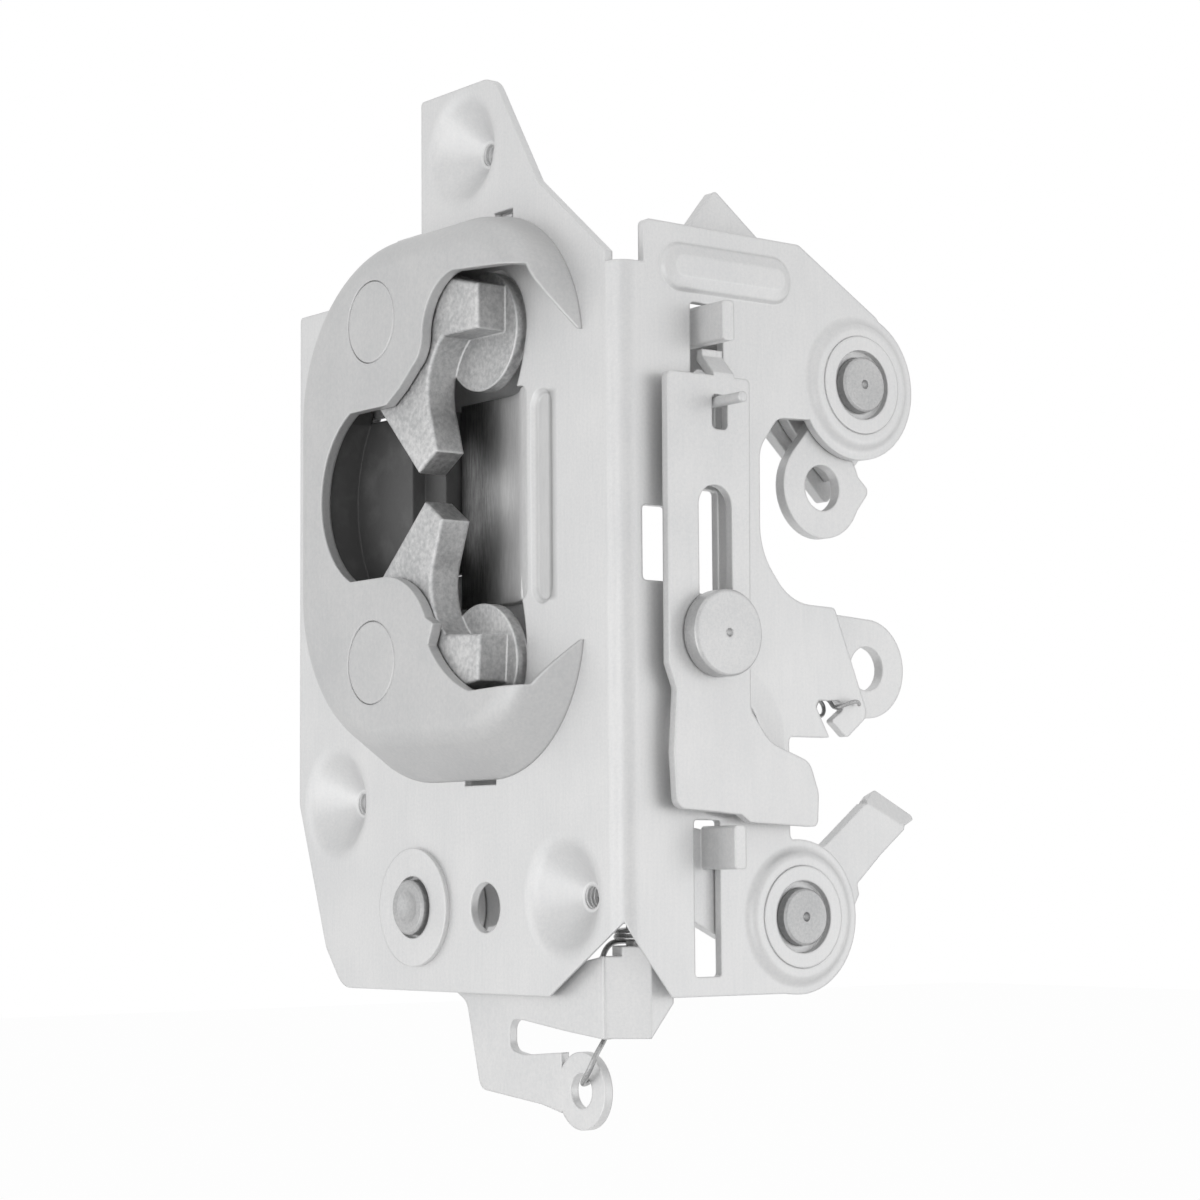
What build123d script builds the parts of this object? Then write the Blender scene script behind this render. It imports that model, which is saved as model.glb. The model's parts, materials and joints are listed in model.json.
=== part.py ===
from build123d import *
from math import cos, sin, tan, radians
import os

os.makedirs("parts", exist_ok=True)

# Twin-claw door latch. x runs along the face plate, y into the door, z up. The outer face of the face
# plate lies in y = 0, and the axis of a latched striker passes through the origin.

# Sheets, folds and gaps
sheet = 2.0
cover_sheet = 2.5
lever_sheet = 2.7
fold_radius = 2.4
running_gap = 0.3
bore_clearance = 0.05
corner_round = 2.5

# Face plate and side plate
side_face = 68.0
plate_bottom = -110.0
fold_top = 41.5
notch_apex = -94.5
notch_face_reach = 25.0
notch_side_reach = 12.5
ear_top = 89.0
ear_left = -3.5
face_left = -54.5
side_top = 50.7

# Screw dimples
screw_radius = 2.5
dimple_radius = 12.0
dimple_lip = 5.0
dimple_depth = 7.5
dimple_floor = 3.1
dimple_collar = 1.5
ear_screw = (12.5, 75.0)
left_screw = (-38.5, -68.0)
right_screw = (48.0, -89.5)

# Claw cover
cover_height = 12.0
cover_shoulder = 6.5
cover_top_left = -36.5
cover_top_right = 48.0
cover_foot_left = -42.0
cover_foot_right = 56.0
cover_foot_half = 61.0
cover_foot_drop = 3.5
cover_tab_depth = 1.5
cover_foot_corner = 32.5
cover_top_corner = 18.0

# Claws
claw_pivot_x = -6.0
claw_pivot_z = 38.0
claw_hub_radius = 14.2
claw_swing = 46.0
lower_claw_extra = 4.0
fork_back = -1.9
lobe_x = 22.3
lobe_z = 32.6
lower_lobe_x = 21.8
lower_lobe_z = 39.6
lobe_radius = 13.0
lobe_set_back = 1.0
lobe_window_gap = 0.9
ratchet_depth = 3.0
claw_edge = 0.7
claw_stud_radius = 5.0
claw_stud_head = 9.25
rivet_head_radius = 7.5
rivet_head_height = 1.6
back_sheet = 1.5
back_neck_radius = 3.5
back_head_radius = 6.0

# Mouth of the face plate and its guide tongue
mouth_top = 19.5
mouth_bottom = -26.5
mouth_left = -28.5
mouth_right = 36.0
tongue_tip = 4.0
tongue_flat = 14.0
tongue_depth = 5.5
groove_x = 41.2
groove_z = -5.0
groove_length = 46.0
groove_width = 7.5
groove_depth = 1.2

# Striker buffer
buffer_floor = -1.5
buffer_back = 9.0
buffer_half = 18.0
buffer_rear_right = 3.0
buffer_wall = 4.5
buffer_pocket_x = 6.3
buffer_pocket_radius = 33.5

# Pawls
pawl_sheet = 3.0
pawl_pivot_x = -37.0
pawl_pivot_z = 14.0
pawl_half_width = 4.3
pawl_stud_radius = 3.5
pawl_stud_head = 6.0
pawl_nose_depth = 3.0
pawl_nose_half = 1.5
pawl_nose_reach = 3.5
pawl_tail_end = 2.5

# Transfer lever
transfer_x = -6.0
transfer_z = -91.7
transfer_pin_radius = 6.0
transfer_boss_radius = 13.0
transfer_boss_height = 1.2
transfer_recess_radius = 6.8
transfer_hub_radius = 12.0
transfer_half_width = 6.0
transfer_tab_half = 6.0
round_hole_x = 20.2
round_hole_radius = 5.4

# Dished opening of the side plate
dish_y = 27.5
dish_z = -57.0
dish_hole = 10.5
dish_rim = 16.3
dish_taper = 79.0

# Pivots of the side plate
upper_pin_y = 66.0
upper_pin_z = 21.0
lower_pin_y = 47.0
lower_pin_z = -94.0
side_pin_radius = 6.0
boss_rim_radius = 16.3
boss_base_radius = 15.2
boss_top_radius = 12.2
boss_rise = 1.5
bead_centre = (29.0, 41.5)
bead_length = 36.0
bead_width = 10.5
bead_rise = 1.8
bead_foot_slope = 40
bead_top_slope = 68
bush_radius = 10.7
bush_recess_radius = 7.6
bush_recess_depth = 1.6
pin_proud = 1.2
pin_head_radius = 9.0
pin_head_height = 2.5
lever_hub_radius = 12.5

# Slider and its guide stud
slider_lift = 2.3
slider_travel = 5.0
guide_y = 21.8
guide_z = -35.5
guide_radius = 4.3
guide_side_gap = 0.2
button_radius = 9.0
button_height = 4.0
collar_radius = 7.5
slider_slot_top = -4.5
tongue_left = 21.8
tongue_right = 27.2
link_pin_radius = 1.15
link_pin_y = 22.7
link_pin_z = 13.0
link_pin_proud = 8.5
link_pin_play = 0.4
link_pin_sweep = 1.6
slider_top = 18.5
slider_right = 31.5

# Levers behind the side plate
eye_step = 0.9
eye_y = 57.5
eye_z = -1.8
eye_radius = 11.0
eye_hole_radius = 5.0
release_tab_y = 20.5
release_tab_proud = 9.0
release_tab_bottom = 25.2
release_tab_top = 33.6
lug_y = 69.7
lug_z = -40.6
lug_radius = 10.8
lug_hole_radius = 4.8
lower_tab_y = 22.5
lower_tab_proud = 8.6
lower_tab_top = -75.0
lower_tab_bottom = -84.0
tip_bend = 28.0
tab_sheet = 3.0
tab_corner = 0.8

# Corner lever on its upright pin
corner_sheet = 2.0
corner_front = 3.0
corner_side_x = 64.2
corner_pin_x = 57.0
corner_pin_y = 12.5
corner_pin_radius = 2.5
corner_pin_head = 3.5
flange_top = -99.5
spring_room = 4.5
bracket_sheet = 2.0
coil_radius = 4.5
coil_turns = 2.5
points_per_turn = 10
wire_radius = 0.6
corner_lug_x = 49.8
corner_lug_z = -129.2
corner_lug_radius = 8.0
corner_lug_hole = 3.6

# Levels that follow from the sizes above
side_inner = side_face - sheet
lever_outer = side_inner - running_gap
lever_inner = lever_outer - lever_sheet
eye_hub_outer = lever_inner - eye_step
eye_hub_inner = eye_hub_outer - lever_sheet
release_outer = eye_hub_inner - running_gap
release_inner = release_outer - lever_sheet
slider_inner = side_face + slider_lift
slider_outer = slider_inner + sheet
cover_top_half = claw_pivot_z + claw_hub_radius + cover_sheet + running_gap
claw_front = cover_sheet + running_gap - cover_height
lobe_back = sheet - lobe_set_back
pawl_front = sheet + running_gap
pawl_back = pawl_front + pawl_sheet
fold_outer = fold_radius + sheet
transfer_front = max(pawl_back + 5.5, sheet + dimple_depth + dimple_collar + running_gap)
transfer_back = transfer_front + lever_sheet
back_plate_front = tongue_depth + sheet + running_gap
back_plate_back = back_plate_front + back_sheet
bracket_lug_bottom = flange_top + spring_room


def face_plane(depth):
    """Sketch plane parallel to the face plate; extruding goes out of the door."""
    return Plane.XZ.offset(-depth)


def side_plane(level):
    """Sketch plane parallel to the side plate; extruding goes outward."""
    return Plane.YZ.offset(level)


def outline(points, radius):
    """Closed outline with rounded corners, as a face of the sketch that is open."""
    with BuildLine() as rim:
        FilletPolyline(*points, radius=radius, close=True)
    make_face(rim.edges())


def plate(plane, points, radius, thickness, mode=Mode.ADD):
    """Flat piece with rounded corners."""
    with BuildSketch(plane) as shape:
        outline(points, radius)
    extrude(shape.sketch, amount=thickness, mode=mode)


def disc(plane, centre, radius, thickness, mode=Mode.ADD):
    """Round piece or round hole."""
    with BuildSketch(plane) as shape:
        with Locations(centre):
            Circle(radius)
    extrude(shape.sketch, amount=thickness, mode=mode)


def block(plane, low, high, thickness, mode=Mode.ADD, radius=0.0):
    """Rectangular piece or slot between two opposite corners."""
    width = high[0] - low[0]
    height = high[1] - low[1]
    with BuildSketch(plane) as shape:
        with Locations(((low[0] + high[0]) / 2, (low[1] + high[1]) / 2)):
            if radius > 0:
                RectangleRounded(width, height, radius)
            else:
                Rectangle(width, height)
    extrude(shape.sketch, amount=thickness, mode=mode)


def polar(centre, radius, angle):
    """Point at an angle around a centre."""
    return (centre[0] + radius * cos(radians(angle)), centre[1] + radius * sin(radians(angle)))


def turned(point, side, extra):
    """Point of the upper claw, opened further by an angle and mirrored for the lower claw."""
    dx = point[0] - claw_pivot_x
    dz = point[1] - claw_pivot_z
    x = claw_pivot_x + dx * cos(radians(extra)) - dz * sin(radians(extra))
    z = claw_pivot_z + dx * sin(radians(extra)) + dz * cos(radians(extra))
    return (x, side * z)


def screw_dimple(centre):
    """Cone pressed inward round a threaded hole, with a short collar behind."""
    wall = sheet * 0.8
    end = sheet + dimple_depth
    with BuildSketch(Plane.XY.offset(centre[1])) as shape:
        with BuildLine() as rim:
            Polyline(
                (centre[0], 0),
                (centre[0] + dimple_radius + wall, 0),
                (centre[0] + dimple_radius + wall, sheet),
                (centre[0] + dimple_floor + wall, end),
                (centre[0] + dimple_floor + wall, end + dimple_collar),
                (centre[0], end + dimple_collar),
                close=True,
            )
        make_face(rim.edges())
    revolve(shape.sketch, axis=Axis((centre[0], 0, centre[1]), (0, 1, 0)))
    with BuildSketch(Plane.XY.offset(centre[1])) as shape:
        outline(
            [
                (centre[0], -1),
                (centre[0] + dimple_radius + dimple_lip, -1),
                (centre[0] + dimple_radius + dimple_lip, 0),
                (centre[0] + dimple_radius, 0),
                (centre[0] + dimple_floor, dimple_depth),
                (centre[0] + screw_radius, dimple_depth),
                (centre[0] + screw_radius, end + dimple_collar),
                (centre[0], end + dimple_collar),
            ],
            [0, 0, 0, dimple_lip, 0, 0, 0, 0],
        )
    revolve(shape.sketch, axis=Axis((centre[0], 0, centre[1]), (0, 1, 0)), mode=Mode.SUBTRACT)


def pivot_boss(centre):
    """Part of the side plate pressed outward round a pivot, with the seat of its bush."""
    with BuildSketch(Plane.XY.offset(centre[1])) as shape:
        with BuildLine() as rim:
            Polyline(
                (side_face + boss_rise, centre[0] + boss_top_radius),
                (side_face + boss_rise, centre[0]),
                (side_face - sheet, centre[0]),
                (side_face - sheet, centre[0] + boss_base_radius),
                (side_face, centre[0] + boss_base_radius),
            )
            middle = (side_face + boss_rise / 2, centre[0] + (boss_base_radius + boss_top_radius) / 2)
            TangentArc((side_face, centre[0] + boss_base_radius), middle, tangent=(0, -1))
            TangentArc((side_face + boss_rise, centre[0] + boss_top_radius), middle, tangent=(0, 1))
        make_face(rim.edges())
    revolve(shape.sketch, axis=Axis((0, centre[0], centre[1]), (1, 0, 0)))
    disc(
        side_plane(side_inner - 1),
        centre,
        bush_radius + bore_clearance,
        sheet + boss_rise + 2,
        Mode.SUBTRACT,
    )


def lobe_window(side, lobe, swing, depth):
    """Room that the lobe of a claw sweeps, cut from the outer face of the face plate to a depth."""
    arm = (lobe[0] - claw_pivot_x, lobe[1] - claw_pivot_z)
    reach = (arm[0] ** 2 + arm[1] ** 2) ** 0.5
    half = lobe_radius + lobe_window_gap

    def at(angle, distance):
        share = distance / reach
        return turned((claw_pivot_x + arm[0] * share, claw_pivot_z + arm[1] * share), side, -angle)

    with BuildSketch(face_plane(depth)) as shape:
        with Locations(at(0, reach), at(swing, reach)):
            Circle(half)
        with BuildLine() as rim:
            ThreePointArc(at(0, reach + half), at(swing / 2, reach + half), at(swing, reach + half))
            Line(at(swing, reach + half), at(swing, reach - half))
            ThreePointArc(at(swing, reach - half), at(swing / 2, reach - half), at(0, reach - half))
            Line(at(0, reach - half), at(0, reach + half))
        make_face(rim.edges())
    extrude(shape.sketch, amount=depth + 1, mode=Mode.SUBTRACT)


# Frame: the face plate, the fold and the side plate
slot_left = release_tab_y - 1.5
slot_right = tongue_right + 0.8
lower_slot_left = lower_tab_y - 3.8
lower_slot_right = lower_tab_y + tab_sheet + 0.3
fold_start = side_face - fold_outer
tab_slot_gap = 0.4
tab_slot_reach = 1.0
foot_top = cover_foot_half - cover_foot_drop
foot_bottom = -cover_foot_half - cover_foot_drop

with BuildPart() as frame:
    plate(
        face_plane(sheet),
        [
            (face_left, 47.5),
            (-42.0, 47.5),
            (-28.0, 55.0),
            (ear_left, foot_top),
            (ear_left, ear_top),
            (24.0, ear_top),
            (40.0, 63.0),
            (fold_start, fold_top + 2.3),
            (fold_start, plate_bottom),
            (-36.0, plate_bottom),
            (-43.0, -101.0),
            (face_left, -68.0),
        ],
        [1, corner_round, corner_round, 0.5, 1, 6, 4, 0, 0, 7, 5, 4],
        sheet,
    )
    with BuildSketch(Plane.XY.offset(plate_bottom)):
        with Locations((side_face - fold_outer, fold_outer)):
            Circle(fold_outer)
            Circle(fold_radius, mode=Mode.SUBTRACT)
        with Locations((fold_start - fold_outer, fold_outer)):
            Rectangle(2 * fold_outer, 4 * fold_outer, mode=Mode.SUBTRACT)
        with Locations((fold_start, 2 * fold_outer)):
            Rectangle(4 * fold_outer, 2 * fold_outer, mode=Mode.SUBTRACT)
    extrude(amount=fold_top - plate_bottom)
    plate(
        side_plane(side_inner),
        [
            (fold_outer, fold_top),
            (6.9, fold_top),
            (6.9, side_top),
            (49.5, side_top - 0.5),
            (upper_pin_y + 8.5, upper_pin_z + 14.2),
            (upper_pin_y - 4, upper_pin_z - 2),
            (52.0, 12.3),
            (43.0, 12.0),
            (37.8, 5.0),
            (37.6, -17.0),
            (46.0, -27.5),
            (58.5, -28.0),
            (67.8, -51.0),
            (61.5, -56.0),
            (57.2, -52.4),
            (60.5, -50.0),
            (60.5, -48.0),
            (53.5, -48.0),
            (52.8, -49.5),
            (56.5, -56.0),
            (45.0, -56.0),
            (45.0, -78.0),
            (lower_pin_y + 4, lower_pin_z + 15.8),
            (lower_pin_y + 4, plate_bottom),
            (fold_outer, plate_bottom),
        ],
        [0, 0.4, 1.5, 2, 3, 1, 2, 4, 7, 16, 12, 1.2, 2.5]
        + [1, 0.5, 0.5, 1.5, 1, 0.5, 0.3, 1.2, 1.5, 1, 1, 0],
        sheet,
    )
    for boss_centre in ((upper_pin_y, upper_pin_z), (lower_pin_y, lower_pin_z)):
        disc(side_plane(side_inner), boss_centre, boss_rim_radius, sheet)
        pivot_boss(boss_centre)

    # Pressed bead of the side plate
    for bead_level, bead_inset, bead_slope in (
        (side_face, 0.0, bead_foot_slope),
        (side_face + bead_rise / 2, bead_rise * tan(radians(bead_foot_slope)), bead_top_slope),
    ):
        with BuildSketch(side_plane(bead_level)):
            with Locations(bead_centre):
                SlotOverall(bead_length - bead_inset, bead_width - bead_inset)
        extrude(amount=bead_rise / 2, taper=bead_slope)

    # Notch across the lower end of the fold
    with BuildSketch(Plane((side_face, 0, notch_apex), x_dir=(1, 1, 0), z_dir=(1, -1, 0))):
        drop = notch_apex - plate_bottom
        with BuildLine():
            Polyline(
                (0, 0),
                (-1.2 * notch_face_reach * sin(radians(45)), -1.2 * drop),
                (1.2 * notch_side_reach * sin(radians(45)), -1.2 * drop),
                close=True,
            )
        make_face()
    extrude(amount=2 * notch_face_reach, both=True, mode=Mode.SUBTRACT)

    for screw_centre in (ear_screw, left_screw, right_screw):
        screw_dimple(screw_centre)

    # Mouth, lobe windows and openings of the face plate
    block(
        face_plane(sheet + 1),
        (mouth_left, mouth_bottom),
        (mouth_right, mouth_top),
        sheet + 2,
        Mode.SUBTRACT,
        corner_round,
    )
    lobe_window(1, (lobe_x, lobe_z), claw_swing, sheet + 1)
    lobe_window(-1, (lower_lobe_x, lower_lobe_z), claw_swing + lower_claw_extra, sheet + 1)
    for side in (1, -1):
        disc(
            face_plane(sheet + 1),
            (claw_pivot_x, side * claw_pivot_z),
            claw_stud_radius + bore_clearance,
            sheet + 2,
            Mode.SUBTRACT,
        )
        nose_x = claw_pivot_x - claw_hub_radius - running_gap
        block(
            face_plane(sheet + 1),
            (nose_x - pawl_nose_depth - 5.0, side * (claw_pivot_z + 1) - 4.5),
            (nose_x + 0.6, side * (claw_pivot_z + 1) + 4.5),
            sheet + 2,
            Mode.SUBTRACT,
            1,
        )
        disc(
            face_plane(sheet + 1),
            (pawl_pivot_x, side * pawl_pivot_z),
            pawl_stud_radius + bore_clearance,
            sheet + 2,
            Mode.SUBTRACT,
        )
    disc(
        face_plane(sheet + 1),
        (transfer_x, transfer_z),
        transfer_boss_radius - 2 + bore_clearance,
        sheet + 2,
        Mode.SUBTRACT,
    )
    disc(face_plane(sheet + 1), (round_hole_x, transfer_z), round_hole_radius, sheet + 2, Mode.SUBTRACT)
    block(
        face_plane(sheet + 1),
        (25.0 - tab_slot_gap, foot_top - cover_sheet - tab_slot_gap),
        (31.0 + tab_slot_gap, foot_top + tab_slot_reach),
        sheet + 2,
        Mode.SUBTRACT,
    )
    block(
        face_plane(sheet + 1),
        (13.0 - tab_slot_gap, foot_bottom - tab_slot_reach),
        (24.0 + tab_slot_gap, foot_bottom + cover_sheet + tab_slot_gap),
        sheet + 2,
        Mode.SUBTRACT,
    )
    with BuildSketch(face_plane(groove_depth)):
        with Locations((groove_x, groove_z)):
            SlotOverall(groove_length - 2 * groove_depth, groove_width - 2 * groove_depth, rotation=90)
    extrude(amount=groove_depth + 0.5, taper=-45, mode=Mode.SUBTRACT)

    # Guide tongue, curved inward from the right edge of the mouth
    with BuildSketch(Plane.XY.offset(mouth_bottom + running_gap)):
        with BuildLine():
            Spline(
                (mouth_right + 1, 0),
                (mouth_right - 7.5, 3.6),
                (tongue_flat, tongue_depth),
                tangents=((-1, 0), (-1, 0)),
            )
            Line((tongue_flat, tongue_depth), (tongue_tip, tongue_depth))
            Line((tongue_tip, tongue_depth), (tongue_tip, tongue_depth + sheet))
            Line((tongue_tip, tongue_depth + sheet), (tongue_flat, tongue_depth + sheet))
            Spline(
                (tongue_flat, tongue_depth + sheet),
                (mouth_right - 8.1, 3.6 + sheet),
                (mouth_right + 1, sheet),
                tangents=((1, 0), (1, 0)),
            )
            Line((mouth_right + 1, sheet), (mouth_right + 1, 0))
        make_face()
    extrude(amount=mouth_top - mouth_bottom - 2 * running_gap)
    lobe_room = lobe_back + 2 * running_gap
    lobe_window(1, (lobe_x, lobe_z), claw_swing, lobe_room)
    lobe_window(-1, (lower_lobe_x, lower_lobe_z), claw_swing + lower_claw_extra, lobe_room)

    # Openings of the side plate
    block(
        side_plane(side_inner - 1),
        (slot_left, slider_top - slider_travel + 1.7),
        (slot_right, release_tab_top + 0.8),
        sheet + 2,
        Mode.SUBTRACT,
        1,
    )
    block(
        side_plane(side_inner - 1),
        (link_pin_y - link_pin_radius - link_pin_play, link_pin_z - slider_travel - 1.6),
        (link_pin_y + link_pin_radius + link_pin_sweep, slider_top),
        sheet + 2,
        Mode.SUBTRACT,
        1,
    )
    block(side_plane(side_inner - 1), (5.8, -24.8), (13.0, -9.2), sheet + 2, Mode.SUBTRACT, 1)
    block(side_plane(side_inner - 1), (18.0, -28.0), (26.0, -5.0), sheet + 2, Mode.SUBTRACT, 1)
    block(
        side_plane(side_inner - 1),
        (lower_slot_left, -106.0),
        (lower_slot_right, lower_tab_top + 1.2),
        sheet + 2,
        Mode.SUBTRACT,
        0.8,
    )
    disc(side_plane(side_inner - 1), (dish_y, dish_z), dish_hole, sheet + 2, Mode.SUBTRACT)
    with BuildSketch(side_plane(side_face)):
        with Locations((dish_y, dish_z)):
            Circle(dish_rim)
    extrude(amount=-sheet / 2, taper=dish_taper, mode=Mode.SUBTRACT)
    disc(
        side_plane(side_inner - 1),
        (guide_y, guide_z),
        guide_radius + bore_clearance,
        sheet + 2,
        Mode.SUBTRACT,
    )


def cover_outline(plane, left, right, half, drop, left_radius, right_radius, inset):
    """Rounded outline of the cover at one level."""
    corners = [
        (left + inset, half - inset - drop),
        (right - inset, half - inset - drop),
        (right - inset, -half + inset - drop),
        (left + inset, -half + inset - drop),
    ]
    radii = [left_radius - inset, right_radius - inset, right_radius - inset, left_radius - inset]
    with BuildSketch(plane) as shape:
        outline(corners, radii)
    return shape.sketch


def cover_loft(inset, rim, mode=Mode.ADD):
    """Body between the foot outline and the outline at the top, both set in by a wall."""
    foot = cover_outline(
        face_plane(0),
        cover_foot_left,
        cover_foot_right,
        cover_foot_half,
        cover_foot_drop,
        44.0,
        cover_foot_corner,
        inset,
    )
    top = cover_outline(
        face_plane(-cover_height + rim),
        cover_top_left,
        cover_top_right,
        cover_top_half,
        0.0,
        34.0,
        cover_top_corner,
        inset,
    )
    loft(sections=[foot, top], mode=mode)


with BuildPart() as claw_cover:
    cover_loft(0.0, 0.0)
    fillet(claw_cover.edges().group_by(Axis.Y)[0], cover_shoulder)
    cover_loft(cover_sheet, cover_sheet, Mode.SUBTRACT)

    # Throat and mouth between the two horns
    with BuildSketch(face_plane(1)):
        with BuildLine():
            ThreePointArc((-14.5, -19.5), (-26.5, -0.5), (-14.5, 18.5))
            Polyline((-14.5, 18.5), (0.0, 18.5), (5.0, 21.5), (10.0, 25.5))
            ThreePointArc((10.0, 25.5), (12.9, 28.4), (14.0, 33.0))
            ThreePointArc((14.0, 33.0), (17.5, 40.5), (25.5, 44.5))
            Polyline((25.5, 44.5), (48.0, 42.5), (55.2, 28.5), (70.0, 28.5), (70.0, -36.5), (55.2, -36.5))
            Polyline((55.2, -36.5), (48.0, -45.6), (31.0, -46.2))
            ThreePointArc((31.0, -46.2), (22.5, -42.0), (16.0, -35.5))
            Polyline((16.0, -35.5), (18.0, -31.0), (15.0, -29.5))
            ThreePointArc((15.0, -29.5), (9.5, -23.0), (0.0, -19.5))
            Line((0.0, -19.5), (-14.5, -19.5))
        make_face()
    extrude(amount=cover_height + 2, mode=Mode.SUBTRACT)
    for side in (1, -1):
        disc(
            face_plane(1),
            (claw_pivot_x, side * claw_pivot_z),
            claw_stud_head + bore_clearance,
            cover_height + 2,
            Mode.SUBTRACT,
        )
    # Tabs that pass through the slots of the face plate
    for tab_left, tab_right, tab_low in (
        (25.0, 31.0, foot_top - cover_sheet + 0.2),
        (13.0, 24.0, foot_bottom + 0.2),
    ):
        block(
            face_plane(sheet + cover_tab_depth),
            (tab_left, tab_low),
            (tab_right, tab_low + cover_sheet - 0.4),
            sheet + cover_tab_depth,
        )


def claw_body(side, extra, lobe):
    """Fork, hub and rear lobe of a claw, open."""

    def at(x, z):
        return turned((x, z), side, extra)

    def on_hub(angle):
        return turned(polar((claw_pivot_x, claw_pivot_z), claw_hub_radius, angle), side, extra)

    with BuildSketch(face_plane(fork_back)) as shape:
        with BuildLine() as rim:
            Line(at(23.0, 43.5), on_hub(70))
            ThreePointArc(on_hub(70), on_hub(150), on_hub(224))
            Polyline(on_hub(224), at(8.4, 2.7), at(15.4, 6.8), at(12.9, 14.9))
            ThreePointArc(at(12.9, 14.9), at(12.5, 23.6), at(18.0, 31.5))
            Polyline(at(18.0, 31.5), at(31.0, 31.4), at(31.0, 41.3), at(23.0, 43.5))
        make_face(rim.edges())
    extrude(shape.sketch, amount=fork_back - claw_front)
    disc(
        face_plane(-running_gap),
        (claw_pivot_x, side * claw_pivot_z),
        claw_hub_radius - 2,
        -fork_back - running_gap,
    )
    disc(face_plane(lobe_back), (lobe[0], side * lobe[1]), lobe_radius, lobe_back - fork_back)

    # Ratchet notch that the pawl drops into when the claw is closed
    notch_angle = 180 + claw_swing + extra
    inner = claw_hub_radius - ratchet_depth
    outer = claw_hub_radius + 4
    with BuildSketch(face_plane(fork_back + 1)) as shape:
        with BuildLine() as rim:
            Polyline(
                *[
                    turned(
                        polar((claw_pivot_x, claw_pivot_z), notch_radius, notch_angle - extra + spread),
                        side,
                        extra,
                    )
                    for notch_radius, spread in ((inner, -11), (outer, -11), (outer, 9), (inner, 9))
                ],
                close=True,
            )
        make_face(rim.edges())
    extrude(shape.sketch, amount=fork_back - claw_front + 2, mode=Mode.SUBTRACT)
    disc(
        face_plane(lobe_back + 1),
        (claw_pivot_x, side * claw_pivot_z),
        claw_stud_radius + bore_clearance,
        cover_height,
        Mode.SUBTRACT,
    )


with BuildPart() as upper_claw:
    claw_body(1, 0, (lobe_x, lobe_z))
    fillet(upper_claw.edges().group_by(Axis.Y)[0], claw_edge)

with BuildPart() as lower_claw:
    claw_body(-1, lower_claw_extra, (lower_lobe_x, lower_lobe_z))
    fillet(lower_claw.edges().group_by(Axis.Y)[0], claw_edge)


def claw_stud(side):
    """Rivet of a claw, with its head flush in the cover and its shoulder before the back plate."""
    centre = (claw_pivot_x, side * claw_pivot_z)
    disc(face_plane(cover_sheet - cover_height), centre, claw_stud_head, cover_sheet)
    disc(face_plane(sheet), centre, claw_stud_radius, cover_height + sheet - cover_sheet)
    disc(face_plane(back_plate_front), centre, rivet_head_radius, back_plate_front - sheet)
    disc(face_plane(back_plate_back), centre, back_neck_radius, back_sheet)
    disc(face_plane(back_plate_back + rivet_head_height), centre, back_head_radius, rivet_head_height)


with BuildPart() as upper_claw_stud:
    claw_stud(1)
    chamfer(upper_claw_stud.edges().group_by(Axis.Y)[0], 0.35)

with BuildPart() as lower_claw_stud:
    claw_stud(-1)
    chamfer(lower_claw_stud.edges().group_by(Axis.Y)[0], 0.35)

# Sheet behind the mouth and the claws, open where the buffer stands
back_left = -28.0
back_right = 34.0
back_top = 62.0
back_bottom = -67.0
back_cut_right = buffer_rear_right + running_gap
back_cut_half = buffer_half + running_gap
with BuildPart() as back_plate:
    plate(
        face_plane(back_plate_back),
        [
            (back_left, back_top),
            (back_right, back_top),
            (back_right, back_bottom),
            (back_left, back_bottom),
            (back_left, -back_cut_half),
            (back_cut_right, -back_cut_half),
            (back_cut_right, back_cut_half),
            (back_left, back_cut_half),
        ],
        [4, 4, 4, 4, 1, 0.5, 0.5, 1],
        back_sheet,
    )
    for side in (1, -1):
        disc(
            face_plane(back_plate_back + 1),
            (claw_pivot_x, side * claw_pivot_z),
            back_neck_radius + bore_clearance,
            back_sheet + 2,
            Mode.SUBTRACT,
        )

# Plastic buffer that the striker runs against
with BuildPart() as striker_buffer:
    block(
        face_plane(sheet),
        (mouth_left + running_gap, -buffer_half),
        (-5.0, buffer_half),
        sheet - buffer_floor,
    )
    block(
        face_plane(buffer_back),
        (mouth_left + running_gap, -buffer_half),
        (buffer_rear_right, buffer_half),
        buffer_back - sheet,
    )
    for side in (1, -1):
        seat = mouth_top if side > 0 else -mouth_bottom
        block(
            face_plane(sheet + 2.5),
            (-20.0, min(side * (buffer_half - 1), side * (seat + 4))),
            (-9.0, max(side * (buffer_half - 1), side * (seat + 4))),
            2.5,
        )
    # Curved wall under the cover, left of the pocket
    with BuildSketch(face_plane(buffer_floor + 0.5)):
        with Locations((buffer_pocket_x, -0.5)):
            Circle(buffer_pocket_radius + buffer_wall)
            Circle(buffer_pocket_radius, mode=Mode.SUBTRACT)
        with Locations((18.0, 0.0)):
            Rectangle(80.0, 120.0, mode=Mode.SUBTRACT)
    extrude(amount=buffer_floor + 0.5 - claw_front)


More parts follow.
